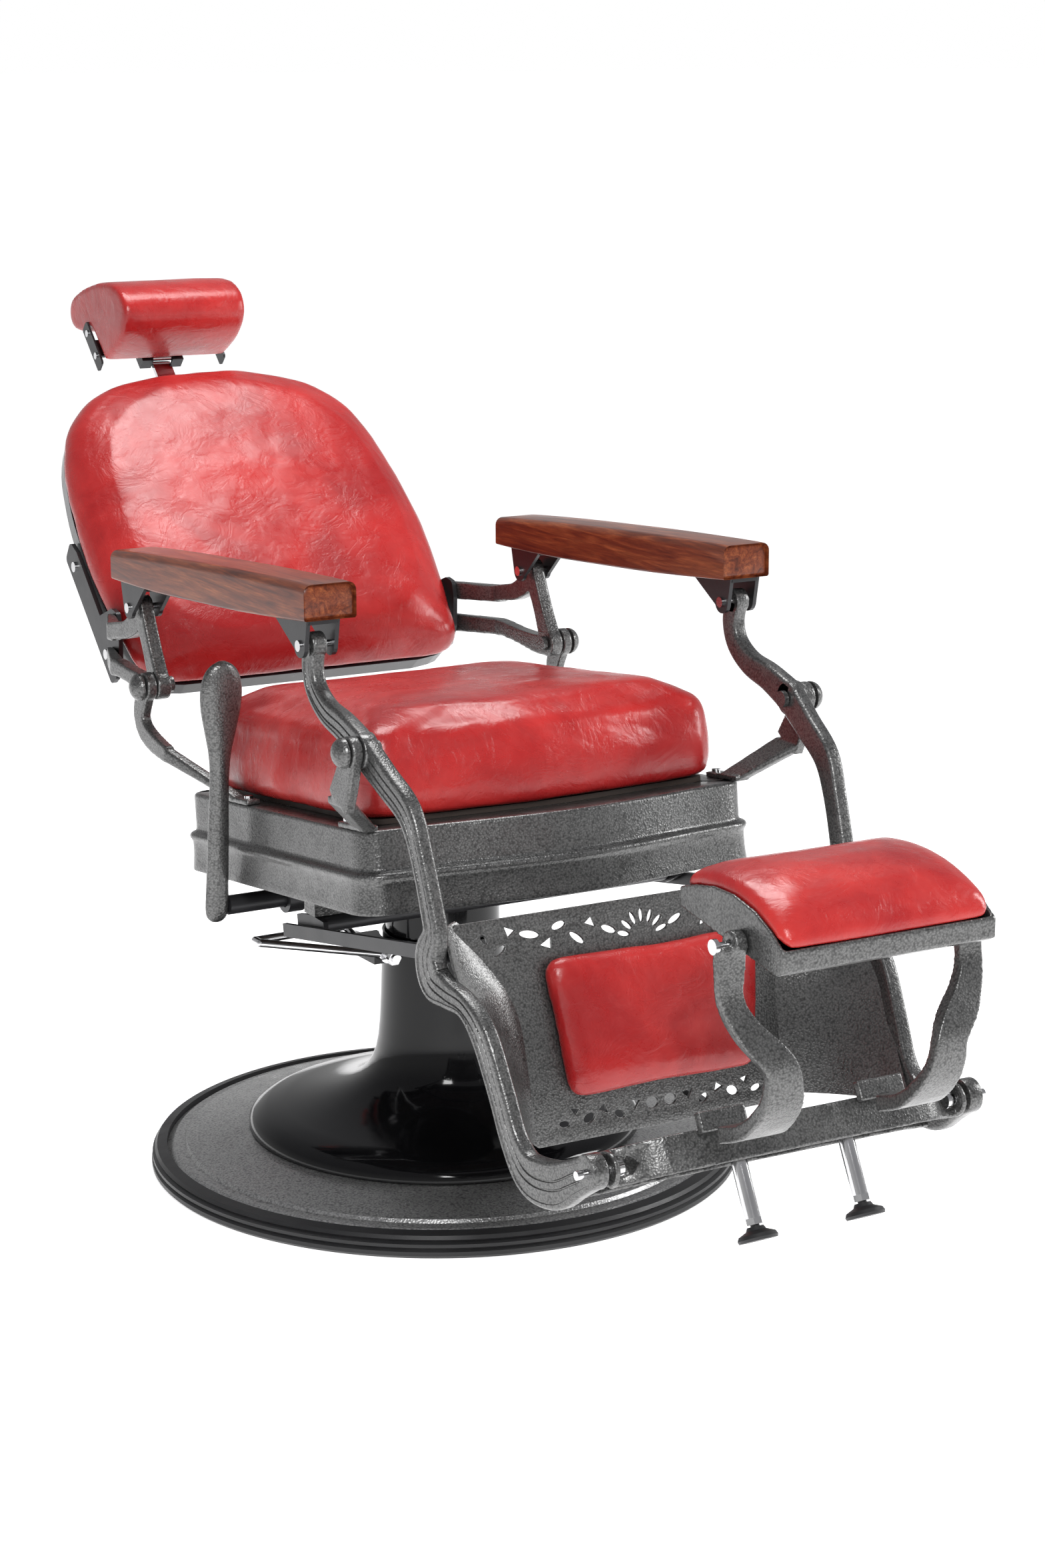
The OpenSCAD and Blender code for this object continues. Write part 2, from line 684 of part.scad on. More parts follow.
// ---- Recline links ----
module recline_link() {
    bar_half = 8;
    color("black") difference() {
        side_view(link_x, 6) {
            polygon(strap([[link_pin[0], link_pin[1], bar_half], [-278, 386, bar_half],
                [-78, 352, bar_half]], 1));
            translate(link_pin) circle(r = 12);
        }
        pin(link_x - 1, link_x + 7, link_pin, 4 + turn_gap);
    }
}
module recline_link_left() { recline_link(); }
module recline_link_right() { on_right() recline_link(); }

// ---- Footrest ----
module footrest_frame() {
    bow = [[-226, 2], [-200, -6], [-166, -26], [-80, -33], [0, -35], [80, -33], [166, -26],
        [200, -6], [226, 2]];
    web_half = 2;
    color("dimgray") foot_space() difference() {
        union() {
            for (dy = [0, 32]) translate([0, dy, -20]) linear_extrude(40)
                polygon(strap([for (p = bow) [p[0], p[1] + dy, web_half]], 4));
            translate([0, 0, 16]) linear_extrude(4)
                polygon(strap([for (p = bow) [p[0], p[1] + 16, 17]], 4));
            both_sides() pin(219, 225, [0, 0], 19);
            both_sides() translate([leg_x, -3, -12]) cylinder(h = 30, r = leg_r + 4);
        }
        both_sides() pin(200, 240, [0, 0], bolt_r + turn_gap);
        both_sides() pin(190, 218, [0, 0], 11);
        both_sides() translate([leg_x, -3, -13]) cylinder(h = 22, r = leg_r + 0.02);
    }
}
module tread_arm() {
    side = [[-872, 513, 10], [-874, 490, 8], [-878, 457, 7], [-890, 424, 7], [-906, 388, 7],
        [-902, 350, 7], [-868, 312, 8], [-828, 296, 9]];
    front = [[147, 532, 15], [147, 500, 15], [149, 457, 14], [136, 425, 16], [108, 390, 19],
        [102, 358, 22], [100, 325, 26], [100, 284, 30]];
    color("dimgray") difference() {
        union() {
            intersection() {
                side_view(40, 140) polygon(strap(side));
                translate([0, -700, 0]) rotate([90, 0, 0]) linear_extrude(300) polygon(strap(front));
            }
            pin(133, 147, tread_hinge, 14);
            foot_space() translate([72, -46, 14]) cube([58, 10, 22]);
        }
        pin(125, 170, tread_hinge, 4);
    }
}
module tread_arm_left() { tread_arm(); }
module tread_arm_right() { on_right() tread_arm(); }
module leg_tubes() {
    color("silver") both_sides() foot_space() translate([leg_x, -3, 0]) difference() {
        union() {
            translate([0, 0, -80]) cylinder(h = 88, r = leg_r);
            translate([0, 0, -87]) cylinder(h = 7, r = 9.5, $fn = 6);
        }
        translate([0, 0, -90]) cylinder(h = 80, r = stem_r + turn_gap);
    }
}
module footrest_bolts() {
    color("silver") both_sides() {
        pin(214, 262, foot_hinge, bolt_r - 0.05);
        pin(208, 214, foot_hinge, 9);
    }
}
module tread_bolts() {
    color("silver") both_sides() {
        pin(127, 162, tread_hinge, 3.95);
        pin(162, 167, tread_hinge, 8);
    }
}
tread_side = [[-757, 524], [-932, 492], [-944, 498], [-944, 519], [-920, 536], [-891, 550],
    [-855, 558], [-819, 559], [-785, 553], [-757, 545]];
module tread_frame() {
    sheet = 4;
    half = tread_w / 2;
    color("dimgray") difference() {
        union() {
            difference() {
                side_view(-half, tread_w) polygon(tread_side);
                side_view(-half + sheet, tread_w - 2 * sheet)
                    polygon([[-761, 528], [-761, 600], [-940, 600], [-940, 500], [-932, 497]]);
            }
            both_sides() pin(half - 5.5, half, tread_hinge, 13);
        }
        pin(-half - 1, half + 1, tread_hinge, 4 + turn_gap);
    }
}
module tread_pad() {
    half = tread_w / 2 - 6;
    color("firebrick") hull() {
        side_view(-half, 2 * half)
            polygon([[-764, 536], [-937, 506], [-937, 521], [-891, 554], [-819, 563], [-764, 550]]);
        side_view(-half + 40, 2 * half - 80)
            polygon([[-786, 552], [-924, 530], [-880, 570], [-822, 576], [-790, 568]]);
    }
}
module levelling_foot() {
    color("black") foot_space() translate([leg_x, -3, 0]) {
        translate([0, 0, -92]) cylinder(h = 60, r = stem_r);
        translate([0, 0, -104]) rotate_extrude()
            polygon([[0, 0], [21, 0], [22, 3], [20, 7], [11, 11], [9, 15], [0, 15]]);
    }
}
module levelling_foot_left() { levelling_foot(); }
module levelling_foot_right() { on_right() levelling_foot(); }

base_plate();
base_ring();
bell_cover();
pump_cylinder();
cylinder_gland();
pedal_bracket();
pedal_axle();
pump_pedal();
ram();
lift_sleeve();
thrust_bearing();
swivel_hub();
seat_frame();
seat_board();
seat_cushion();
front_stanchion_right();
front_stanchion_left();
rear_stanchion_right();
rear_stanchion_left();
stanchion_bolts();
pivot_bolts();
recline_lock();
lever_bracket();
recline_lever();
lever_shaft();
back_shell();
back_cushion();
rear_arm_right();
rear_arm_left();
back_plate_right();
back_plate_left();
back_screws();
headrest_socket();
headrest_bar();
headrest_frame();
headrest_cushion();
headrest_screws();
front_arm_right();
front_arm_left();
legrest_panel();
legrest_pad();
link_bolts();
armrest_right();
armrest_left();
armrest_clevis_right();
armrest_clevis_left();
clevis_pins_right();
clevis_pins_left();
recline_link_right();
recline_link_left();
footrest_frame();
tread_arm_right();
tread_arm_left();
leg_tubes();
footrest_bolts();
tread_bolts();
tread_frame();
tread_pad();
levelling_foot_right();
levelling_foot_left();
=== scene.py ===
import json
from math import atan2, cos, exp, hypot, pi, radians, sin

import bpy
import bmesh
from mathutils import Matrix, Vector, noise


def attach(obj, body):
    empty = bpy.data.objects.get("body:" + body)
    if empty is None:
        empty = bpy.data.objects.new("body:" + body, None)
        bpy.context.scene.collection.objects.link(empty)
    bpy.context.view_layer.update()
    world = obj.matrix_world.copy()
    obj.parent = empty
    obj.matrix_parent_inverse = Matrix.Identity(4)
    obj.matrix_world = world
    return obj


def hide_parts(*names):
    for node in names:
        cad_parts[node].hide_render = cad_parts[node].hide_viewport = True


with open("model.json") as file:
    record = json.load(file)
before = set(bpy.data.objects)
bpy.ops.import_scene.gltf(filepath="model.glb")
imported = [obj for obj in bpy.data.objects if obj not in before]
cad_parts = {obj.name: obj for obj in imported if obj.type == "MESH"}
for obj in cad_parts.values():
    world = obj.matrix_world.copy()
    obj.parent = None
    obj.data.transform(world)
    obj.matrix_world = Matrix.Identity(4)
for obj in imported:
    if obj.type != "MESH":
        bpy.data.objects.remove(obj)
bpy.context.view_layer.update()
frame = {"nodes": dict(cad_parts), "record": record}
NODES = frame["nodes"]
scene = bpy.context.scene
MM = 0.001


# ---- Spaces: a local (x, u, v) in millimetres to a place in the row frame ----
def space(turn, y0, z0):
    c, s = cos(radians(turn)), sin(radians(turn))
    return lambda x, u, v: Vector((x, y0 + u * c - v * s, z0 + u * s + v * c)) * MM


WORLD = space(0, 0, 0)
SEAT = space(-6, 0, 488)
BACK = space(45, 215, 605)
PANEL = space(77.5, -520, 195)


# ---- Camera, light and floor ----
def camera():
    az, el, roll = radians(-29.853), radians(13.036), radians(-0.192)
    aim = Vector((0, -0.2044, 0.5267))
    back = Vector((sin(az) * cos(el), -cos(az) * cos(el), sin(el)))
    right = Vector((cos(az), sin(az), 0))
    up = back.cross(right)
    right, up = right * cos(roll) + up * sin(roll), up * cos(roll) - right * sin(roll)
    cam = bpy.data.cameras.new("camera")
    cam.lens = 71.95
    cam.sensor_width = 36
    ob = bpy.data.objects.new("camera", cam)
    scene.collection.objects.link(ob)
    ob.matrix_world = Matrix.Translation(aim + back * 3.7493) @ Matrix(
        (right, up, back)).transposed().to_4x4()
    scene.camera = ob


def light(name, at, aim, size, power, color=(1, 1, 1)):
    data = bpy.data.lights.new(name, "AREA")
    data.shape = "RECTANGLE"
    data.size, data.size_y = size
    data.energy = power
    data.color = color
    ob = bpy.data.objects.new(name, data)
    scene.collection.objects.link(ob)
    ob.location = at
    ob.rotation_euler = (Vector(aim) - Vector(at)).to_track_quat("-Z", "Y").to_euler()


def studio():
    """A white backdrop that the lens sees, in a dimmer room with three soft boxes."""
    scene.view_settings.view_transform = "Standard"
    world = bpy.data.worlds.new("world")
    scene.world = world
    world.use_nodes = True
    tree = world.node_tree
    sky = tree.nodes["Background"]
    split = tree.nodes.new("ShaderNodeSeparateXYZ")
    fade = tree.nodes.new("ShaderNodeValToRGB")
    fade.color_ramp.elements[0].position = 0.12
    fade.color_ramp.elements[0].color = (0.50, 0.50, 0.50, 1)
    fade.color_ramp.elements[1].position = 0.55
    fade.color_ramp.elements[1].color = (0.28, 0.28, 0.29, 1)
    tree.links.new(tree.nodes.new("ShaderNodeTexCoord").outputs["Generated"], split.inputs[0])
    tree.links.new(split.outputs["Z"], fade.inputs[0])
    seen = tree.nodes.new("ShaderNodeMix")
    seen.data_type = "RGBA"
    seen.inputs[7].default_value = (1, 1, 1, 1)
    tree.links.new(tree.nodes.new("ShaderNodeLightPath").outputs["Is Camera Ray"], seen.inputs[0])
    tree.links.new(fade.outputs[0], seen.inputs[6])
    tree.links.new(seen.outputs[2], sky.inputs[0])
    sky.inputs[1].default_value = 1.0
    light("key", (-1.3, -3.1, 2.6), (0, -0.1, 0.6), (0.9, 1.3), 85)
    light("side", (2.9, -1.4, 1.7), (0, -0.2, 0.6), (0.5, 1.8), 55)
    light("top", (0.3, 0.6, 3.2), (0, 0, 0.5), (1.6, 1.2), 60)
    floor = bmesh.new()
    bmesh.ops.create_grid(floor, x_segments=1, y_segments=1, size=300)
    mesh = bpy.data.meshes.new("floor")
    floor.to_mesh(mesh)
    ob = bpy.data.objects.new("floor", mesh)
    scene.collection.objects.link(ob)
    mat = bpy.data.materials.new("floor")
    mat.use_nodes = True
    shader = mat.node_tree.nodes["Principled BSDF"]
    shader.inputs["Base Color"].default_value = (0.9, 0.9, 0.9, 1)
    shader.inputs["Roughness"].default_value = 0.9
    shader.inputs["Specular IOR Level"].default_value = 0.1
    shader.inputs["Emission Color"].default_value = (1, 1, 1, 1)
    shader.inputs["Emission Strength"].default_value = 0.76
    mesh.materials.append(mat)


# ---- Materials ----
class Paint:
    """A material whose nodes are added one at a time, on object coordinates in metres."""

    def __init__(self, name, **shader):
        self.mat = bpy.data.materials.new(name)
        self.mat.use_nodes = True
        self.tree = self.mat.node_tree
        self.shader = self.tree.nodes["Principled BSDF"]
        for key, value in shader.items():
            self.shader.inputs[key.replace("_", " ")].default_value = value
        self.place = self.tree.nodes.new("ShaderNodeTexCoord").outputs["Object"]

    def link(self, a, b):
        self.tree.links.new(a, b)

    def stretch(self, scale, turn=(0, 0, 0)):
        node = self.tree.nodes.new("ShaderNodeMapping")
        node.inputs["Scale"].default_value = scale
        node.inputs["Rotation"].default_value = turn
        self.link(self.place, node.inputs["Vector"])
        return node.outputs[0]

    def noise(self, scale, detail=3, rough=0.5, at=None, warp=0):
        node = self.tree.nodes.new("ShaderNodeTexNoise")
        node.inputs["Scale"].default_value = scale
        node.inputs["Detail"].default_value = detail
        node.inputs["Roughness"].default_value = rough
        node.inputs["Distortion"].default_value = warp
        self.link(at or self.place, node.inputs["Vector"])
        return node.outputs[0]

    def cells(self, scale, feature="SMOOTH_F1", at=None):
        node = self.tree.nodes.new("ShaderNodeTexVoronoi")
        node.feature = feature
        node.inputs["Scale"].default_value = scale
        self.link(at or self.place, node.inputs["Vector"])
        return node.outputs[0]

    def ramp(self, value, stops):
        node = self.tree.nodes.new("ShaderNodeValToRGB")
        ends = node.color_ramp.elements
        while len(ends) < len(stops):
            ends.new(0.5)
        for end, (where, color) in zip(ends, stops):
            end.position = where
            end.color = (*color, 1) if isinstance(color, tuple) else (color, color, color, 1)
        self.link(value, node.inputs[0])
        return node.outputs[0]

    def mix(self, factor, a, b, kind="MIX"):
        node = self.tree.nodes.new("ShaderNodeMix")
        node.data_type = "RGBA"
        node.blend_type = kind
        for socket, value in ((node.inputs[0], factor), (node.inputs[6], a), (node.inputs[7], b)):
            if isinstance(value, (int, float)):
                socket.default_value = value if socket.type == "VALUE" else (value,) * 3 + (1,)
            elif isinstance(value, tuple):
                socket.default_value = (*value, 1)
            else:
                self.link(value, socket)
        return node.outputs[2]

    def math(self, kind, a, b):
        node = self.tree.nodes.new("ShaderNodeMath")
        node.operation = kind
        for socket, value in zip(node.inputs, (a, b)):
            if isinstance(value, (int, float)):
                socket.default_value = value
            else:
                self.link(value, socket)
        return node.outputs[0]

    def color(self, value):
        self.link(value, self.shader.inputs["Base Color"])

    def rough(self, value):
        self.link(value, self.shader.inputs["Roughness"])

    def bump(self, height, depth, under=None):
        node = self.tree.nodes.new("ShaderNodeBump")
        node.inputs["Strength"].default_value = 1
        node.inputs["Distance"].default_value = depth
        self.link(height, node.inputs["Height"])
        if under:
            self.link(under, node.inputs["Normal"])
        self.link(node.outputs[0], self.shader.inputs["Normal"])
        return node.outputs[0]


def hammered(name, dark, light_, size, metallic=0.75):
    """Hammertone enamel: shallow dimples that catch the light over a mottled grey."""
    p = Paint(name, Metallic=metallic, Roughness=0.3, Coat_Weight=0.25, Coat_Roughness=0.15)
    dimples = p.cells(1 / size)
    broad = p.noise(40, 3)
    p.color(p.mix(p.ramp(dimples, [(0.2, 0.0), (0.75, 1.0)]), light_, dark))
    p.rough(p.ramp(broad, [(0.3, 0.26), (0.7, 0.42)]))
    fine = p.bump(p.noise(900, 2), 0.00008)
    p.bump(dimples, 0.18 * size, fine)
    return p.mat


def leather(name, deep, bright, gloss=0.3):
    p = Paint(name, Roughness=gloss, Coat_Weight=0.2, Coat_Roughness=0.16)
    p.shader.inputs["Specular IOR Level"].default_value = 0.4
    clouds = p.noise(7, 5, 0.6, warp=0.6)
    scuffs = p.noise(26, 8, 0.72, warp=1.2)
    base = p.mix(p.ramp(clouds, [(0.35, 0.0), (0.68, 1.0)]), deep, bright)
    scuffed = p.mix(p.ramp(scuffs, [(0.60, 0.0), (0.78, 0.25)]), base, (0.58, 0.08, 0.07))
    p.color(scuffed)
    p.rough(p.ramp(scuffs, [(0.35, gloss - 0.08), (0.75, gloss + 0.14)]))
    grain = p.bump(p.cells(900, "DISTANCE_TO_EDGE"), 0.00006)
    creases = p.ramp(p.noise(13, 6, 0.6, warp=1.6), [(0.42, 1.0), (0.49, 0.0), (0.56, 1.0)])
    grain = p.bump(creases, 0.0002, grain)
    p.bump(p.noise(30, 3, 0.5, warp=0.8), 0.0013, grain)
    return p.mat


def wood(name):
    p = Paint(name, Roughness=0.32, Coat_Weight=0.15, Coat_Roughness=0.06)
    p.shader.inputs["Specular IOR Level"].default_value = 0.25
    long = p.stretch((14, 1.1, 14))
    bands = p.noise(5, 4, 0.55, at=long, warp=1.5)
    streaks = p.noise(60, 4, 0.6, at=p.stretch((9, 0.5, 9)))
    tone = p.ramp(bands, [(0.3, (0.05, 0.009, 0.004)), (0.5, (0.17, 0.036, 0.012)),
                          (0.72, (0.32, 0.09, 0.03))])
    p.color(p.mix(p.ramp(streaks, [(0.35, 0.0), (0.75, 0.7)]), tone, (0.045, 0.010, 0.006)))
    p.bump(streaks, 0.00008)
    return p.mat


def plain(name, color, rough, metallic=0.0, coat=0.0, grain=0.00004, size=400, shine=0.5):
    p = Paint(name, Metallic=metallic, Coat_Weight=coat, Coat_Roughness=0.04)
    p.shader.inputs["Specular IOR Level"].default_value = shine
    spots = p.noise(size, 3)
    wear = p.noise(18, 5, 0.6)
    p.color(p.mix(p.ramp(wear, [(0.3, 0.0), (0.8, 0.35)]), color,
                  tuple(min(1, c * 1.5 + 0.004) for c in color)))
    p.rough(p.ramp(wear, [(0.3, rough * 0.85), (0.7, rough * 1.25)]))
    p.bump(spots, grain)
    return p.mat


studio()
camera()
MATS = {
    "casting": hammered("casting", (0.055, 0.055, 0.055), (0.16, 0.16, 0.158), 0.0022),
    "base_casting": hammered("base_casting", (0.17, 0.17, 0.172), (0.42, 0.42, 0.417), 0.0024),
    "black_enamel": plain("black_enamel", (0.003, 0.003, 0.0035), 0.09, grain=0.00001,
                          shine=0.28),
    "black_steel": plain("black_steel", (0.022, 0.022, 0.024), 0.33, metallic=0.4, grain=0.00006),
    "base_rubber": plain("base_rubber", (0.012, 0.012, 0.013), 0.42, grain=0.00008),
    "chrome": plain("chrome", (0.62, 0.62, 0.63), 0.09, metallic=1.0, grain=0.000004),
    "ground_steel": plain("ground_steel", (0.42, 0.42, 0.43), 0.3, metallic=1.0),
    "seat_leather": leather("seat_leather", (0.29, 0.009, 0.010), (0.46, 0.024, 0.022)),
    "tread_leather": leather("tread_leather", (0.30, 0.010, 0.012), (0.50, 0.030, 0.026)),
    "armrest_wood": wood("armrest_wood"),
    "board_wood": plain("board_wood", (0.03, 0.02, 0.015), 0.6),
    "shell_black": plain("shell_black", (0.010, 0.010, 0.012), 0.28, coat=0.3),
    "foot_rubber": plain("foot_rubber", (0.012, 0.012, 0.013), 0.45, grain=0.0001),
}
SLOT_OF = {s["node"]: s["material_slot"] for s in frame["record"]["subparts"]}
for name, ob in NODES.items():
    for i in range(len(ob.material_slots)):
        ob.material_slots[i].material = MATS[SLOT_OF[name]]


# ---- Mesh tools ----
def curve(p, n):
    """A smooth curve through points of any dimension, n steps between two."""
    out = []
    for i in range(len(p) - 1):
        near = (p[max(i - 1, 0)], p[i], p[i + 1], p[min(i + 2, len(p) - 1)])
        for t in (k / n for k in range(n)):
            out.append(tuple(0.5 * (2 * b + (c - a) * t + (2 * a - 5 * b + 4 * c - d) * t * t
                                    + (3 * b - a - 3 * c + d) * t ** 3)
                             for a, b, c, d in zip(*near)))
    return out + [tuple(p[-1])]


def rounded(w, t, r=0.003, n=3):
    r = min(r, 0.48 * w, 0.48 * t)
    return [(a * (w / 2 - r) + r * cos(radians(q)), b * (t / 2 - r) + r * sin(radians(q)))
            for a, b, q0 in ((1, 1, 0), (-1, 1, 90), (-1, -1, 180), (1, -1, 270))
            for q in (q0 + 90 * k / n for k in range(n + 1))]


def grooved(w, t):
    """A strap's section whose outer face is sunk inside a rim, with two fine grooves."""
    n = 4
    ring = rounded(w, t, 0.0045, n)
    cut = [(w / 2 - 0.0062, 0), (w / 2 - 0.0070, 0.0011), (0.0062, 0.0011), (0.0054, 0.0026),
           (0.0042, 0.0026), (0.0034, 0.0011)]
    face = [(a, t / 2 - d) for a, d in cut] + [(-a, t / 2 - d) for a, d in reversed(cut)]
    return ring[:n + 1] + face + ring[n + 1:]


class Solid:
    def __init__(self):
        self.bm = bmesh.new()

    def loft(self, rings, loop=False):
        rows = [[self.bm.verts.new(p) for p in ring] for ring in rings]
        for a, b in zip(rows, rows[1:] + rows[:1] if loop else rows[1:]):
            for i in range(len(a)):
                j = (i + 1) % len(a)
                self.bm.faces.new((a[i], a[j], b[j], b[i]))
        if not loop:
            self.bm.faces.new(rows[0][::-1])
            self.bm.faces.new(rows[-1])
        return self

    def lathe(self, profile, at=(0, 0, 0), axis=(0, 0, 1), seg=48):
        turn = Vector((0, 0, 1)).rotation_difference(Vector(axis)).to_matrix()
        return self.loft([[Vector(at) + turn @ Vector((r * cos(q), r * sin(q), h))
                           for r, h in profile]
                          for q in (2 * pi * k / seg for k in range(seg))], loop=True)

    def bar(self, path, side, section=rounded):
        """Sweeps a section along points of (place, width, thickness); thickness lies along side."""
        rings = []
        for i, q in enumerate(path):
            ahead = Vector(path[min(i + 1, len(path) - 1)][:3]) - Vector(path[max(i - 1, 0)][:3])
            wide = ahead.normalized().cross(Vector(side)).normalized()
            thick = wide.cross(ahead.normalized())
            rings.append([Vector(q[:3]) + wide * a + thick * b for a, b in section(q[3], q[4])])
        return self.loft(rings)

    def done(self, name, slot, body, replaces=(), voxel=0, smooth=0, both=False, subdiv=0,
             angle=40):
        bm = self.bm
        if both:
            copy = bmesh.ops.duplicate(bm, geom=bm.verts[:] + bm.edges[:] + bm.faces[:])["geom"]
            for v in (g for g in copy if isinstance(g, bmesh.types.BMVert)):
                v.co.x *= -1
        bmesh.ops.remove_doubles(bm, verts=bm.verts[:], dist=1e-6)
        bmesh.ops.dissolve_degenerate(bm, edges=bm.edges[:], dist=1e-6)
        bmesh.ops.recalc_face_normals(bm, faces=bm.faces[:])
        mesh = bpy.data.meshes.new(name)
        bm.to_mesh(mesh)
        bm.free()
        ob = bpy.data.objects.new(name, mesh)
        scene.collection.objects.link(ob)
        if voxel:
            remesh(ob, voxel, smooth)
        for p in ob.data.polygons:
            p.use_smooth = True
        if not voxel:
            ob.data.set_sharp_from_angle(angle=radians(angle))
        if subdiv:
            modifier = ob.modifiers.new("smooth", "SUBSURF")
            modifier.levels = modifier.render_levels = subdiv
        ob.data.materials.append(MATS[slot])
        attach(ob, body)
        if replaces:
            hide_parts(*([replaces] if isinstance(replaces, str) else replaces))
        return ob


def bake(ob):
    graph = bpy.context.evaluated_depsgraph_get()
    mesh = bpy.data.meshes.new_from_object(ob.evaluated_get(graph))
    ob.modifiers.clear()
    ob.data = mesh


def remesh(ob, voxel, smooth):
    voxel *= 1
    m = ob.modifiers.new("remesh", "REMESH")
    m.mode = "VOXEL"
    m.voxel_size = voxel
    if smooth:
        s = ob.modifiers.new("even", "SMOOTH")
        s.iterations = smooth
        s.factor = 0.5
    bake(ob)


def soften(node, body, voxel=0.0018, smooth=4):
    """A casting in the shape of its CAD node, with its edges rounded as they come from a mould."""
    s = Solid()
    s.bm.from_mesh(NODES[node].data)
    bmesh.ops.remove_doubles(s.bm, verts=s.bm.verts[:], dist=1e-6)
    return s.done(node + "_cast", SLOT_OF[node], body, node, voxel=voxel, smooth=smooth)


# ---- Upholstery ----
def pad(name, slot, body, node, outline, layers, place, lumps=0.0014, press=4.0, cap=0.01,
        voxel=0.006, hold=None):
    """A crowned cushion: rings of the outline, each (inset, height), swollen as filled leather."""
    xs, ys = [p[0] for p in outline], [p[1] for p in outline]
    mid = ((max(xs) + min(xs)) / 2, (max(ys) + min(ys)) / 2)
    half = ((max(xs) - min(xs)) / 2, (max(ys) - min(ys)) / 2)
    s = Solid()
    s.loft([[place(mid[0] + (x - mid[0]) * (1 - inset / half[0]),
                   mid[1] + (y - mid[1]) * (1 - inset / half[1]), h) for x, y in outline]
            for inset, h in layers])
    ob = s.done(name, slot, body, node, voxel=voxel, smooth=3)
    swell(ob, press, cap, hold)
    for v in ob.data.vertices:
        v.co += v.normal * lumps * noise.noise(v.co * 11) + v.normal * lumps * 0.5 * noise.noise(
            v.co * 31)
    m = ob.modifiers.new("smooth", "SUBSURF")
    m.levels = m.render_levels = 1
    bake(ob)
    for p in ob.data.polygons:
        p.use_smooth = True
    return ob


def swell(ob, press, cap, hold):
    start = [v.co.copy() for v in ob.data.vertices]
    group = ob.vertex_groups.new(name="held")
    group.add([i for i, co in enumerate(start) if hold and hold(co)], 1, "ADD")
    m = ob.modifiers.new("cloth", "CLOTH")
    m.settings.use_pressure = True
    m.settings.uniform_pressure_force = press
    m.settings.effector_weights.gravity = 0
    m.settings.vertex_group_mass = "held"
    m.collision_settings.use_collision = False
    m.point_cache.frame_start, m.point_cache.frame_end = 1, 16
    for f in range(1, 17):
        scene.frame_set(f)
    graph = bpy.context.evaluated_depsgraph_get()
    moved = [v.co.copy() for v in ob.evaluated_get(graph).data.vertices]
    ob.modifiers.clear()
    scene.frame_set(1)
    steps = [b - a for a, b in zip(start, moved)]
    near = [[] for _ in steps]
    for edge in ob.data.edges:
        for i, j in (edge.vertices, reversed(edge.vertices)):
            near[i].append(j)
    for _ in range(40):
        steps = [step.lerp(sum((steps[j] for j in near[i]), Vector()) / len(near[i]), 0.5)
                 for i, step in enumerate(steps)]
    for v, a, step in zip(ob.data.vertices, start, steps):
        v.co = a + step * min(1, cap / max(step.length, 1e-9))
    ob.data.update()


def corner_arc(at, r, q0, q1, n=8):
    return [(at[0] + r * cos(radians(q0 + (q1 - q0) * k / n)),
             at[1] + r * sin(radians(q0 + (q1 - q0) * k / n))) for k in range(n + 1)]


def even(points, n):
    """The closed outline again, as n points at even steps."""
    ring = points + points[:1]
    run = [0]
    for a, b in zip(ring, ring[1:]):
        run.append(run[-1] + hypot(b[0] - a[0], b[1] - a[1]))
    out, i = [], 0
    for k in range(n):
        want = run[-1] * k / n
        while run[i + 1] < want:
            i += 1
        t = (want - run[i]) / (run[i + 1] - run[i])
        out.append(tuple(p + (q - p) * t for p, q in zip(ring[i], ring[i + 1])))
    return out


def tube(s, points, r, seg=10, loop=True):
    """A round tube along points in metres, for piping and rods."""
    n = len(points)
    rings = []
    for i, p in enumerate(points):
        a, b = (points[i - 1], points[(i + 1) % n]) if loop else (
            points[max(i - 1, 0)], points[min(i + 1, n - 1)])
        ahead = (Vector(b) - Vector(a)).normalized()
        x = ahead.orthogonal().normalized() if not rings else (
            x - ahead * x.dot(ahead)).normalized()
        y = ahead.cross(x)
        rings.append([Vector(p) + (x * cos(q) + y * sin(q)) * r
                      for q in (2 * pi * k / seg for k in range(seg))])
    s.loft(rings, loop=loop)


bow = [(x, -277 - 20 * (0.5 + 0.5 * cos(pi * x / 241)))
       for x in (-205 + 410 * k / 12 for k in range(1, 12))]
seat_outline = even(corner_arc((-205, -241), 36, 180, 270) + bow
                    + corner_arc((205, -241), 36, -90, 0) + corner_arc((205, 160), 36, 0, 90)
                    + corner_arc((-205, 160), 36, 90, 180), 120)
pad("seat_cushion_leather", "seat_leather", "seat", "seat_cushion", seat_outline,
    [(190, 7), (60, 7), (10, 7), (3, 12), (-1, 30), (-2, 55), (0, 86), (4, 100), (12, 108),
     (28, 114), (60, 120), (110, 125), (190, 127)], SEAT,
    hold=lambda co: co.z + 0.105 * co.y < 0.498)

back_half = [(0, 90), (120, 90), (190, 91), (226, 99), (238, 118), (243, 140), (250, 190),
             (254, 250), (255, 310), (252, 372), (245, 428), (234, 478), (214, 523), (178, 562),
             (128, 588), (68, 602), (0, 606)]
smooth_half = curve(back_half, 4)
back_outline = even(smooth_half + [(-x, y) for x, y in smooth_half[-2:0:-1]], 128)
pad("back_cushion_leather", "seat_leather", "back", "back_cushion", back_outline,
    [(200, -151), (60, -151), (8, -151), (2, -148), (0, -138), (0, -128), (4, -116),
     (14, -106), (32, -100), (64, -95), (110, -92), (200, -90)], BACK,
    hold=lambda co: (-(co.y - 0.215) + co.z - 0.605) * 0.7071 < -0.148)

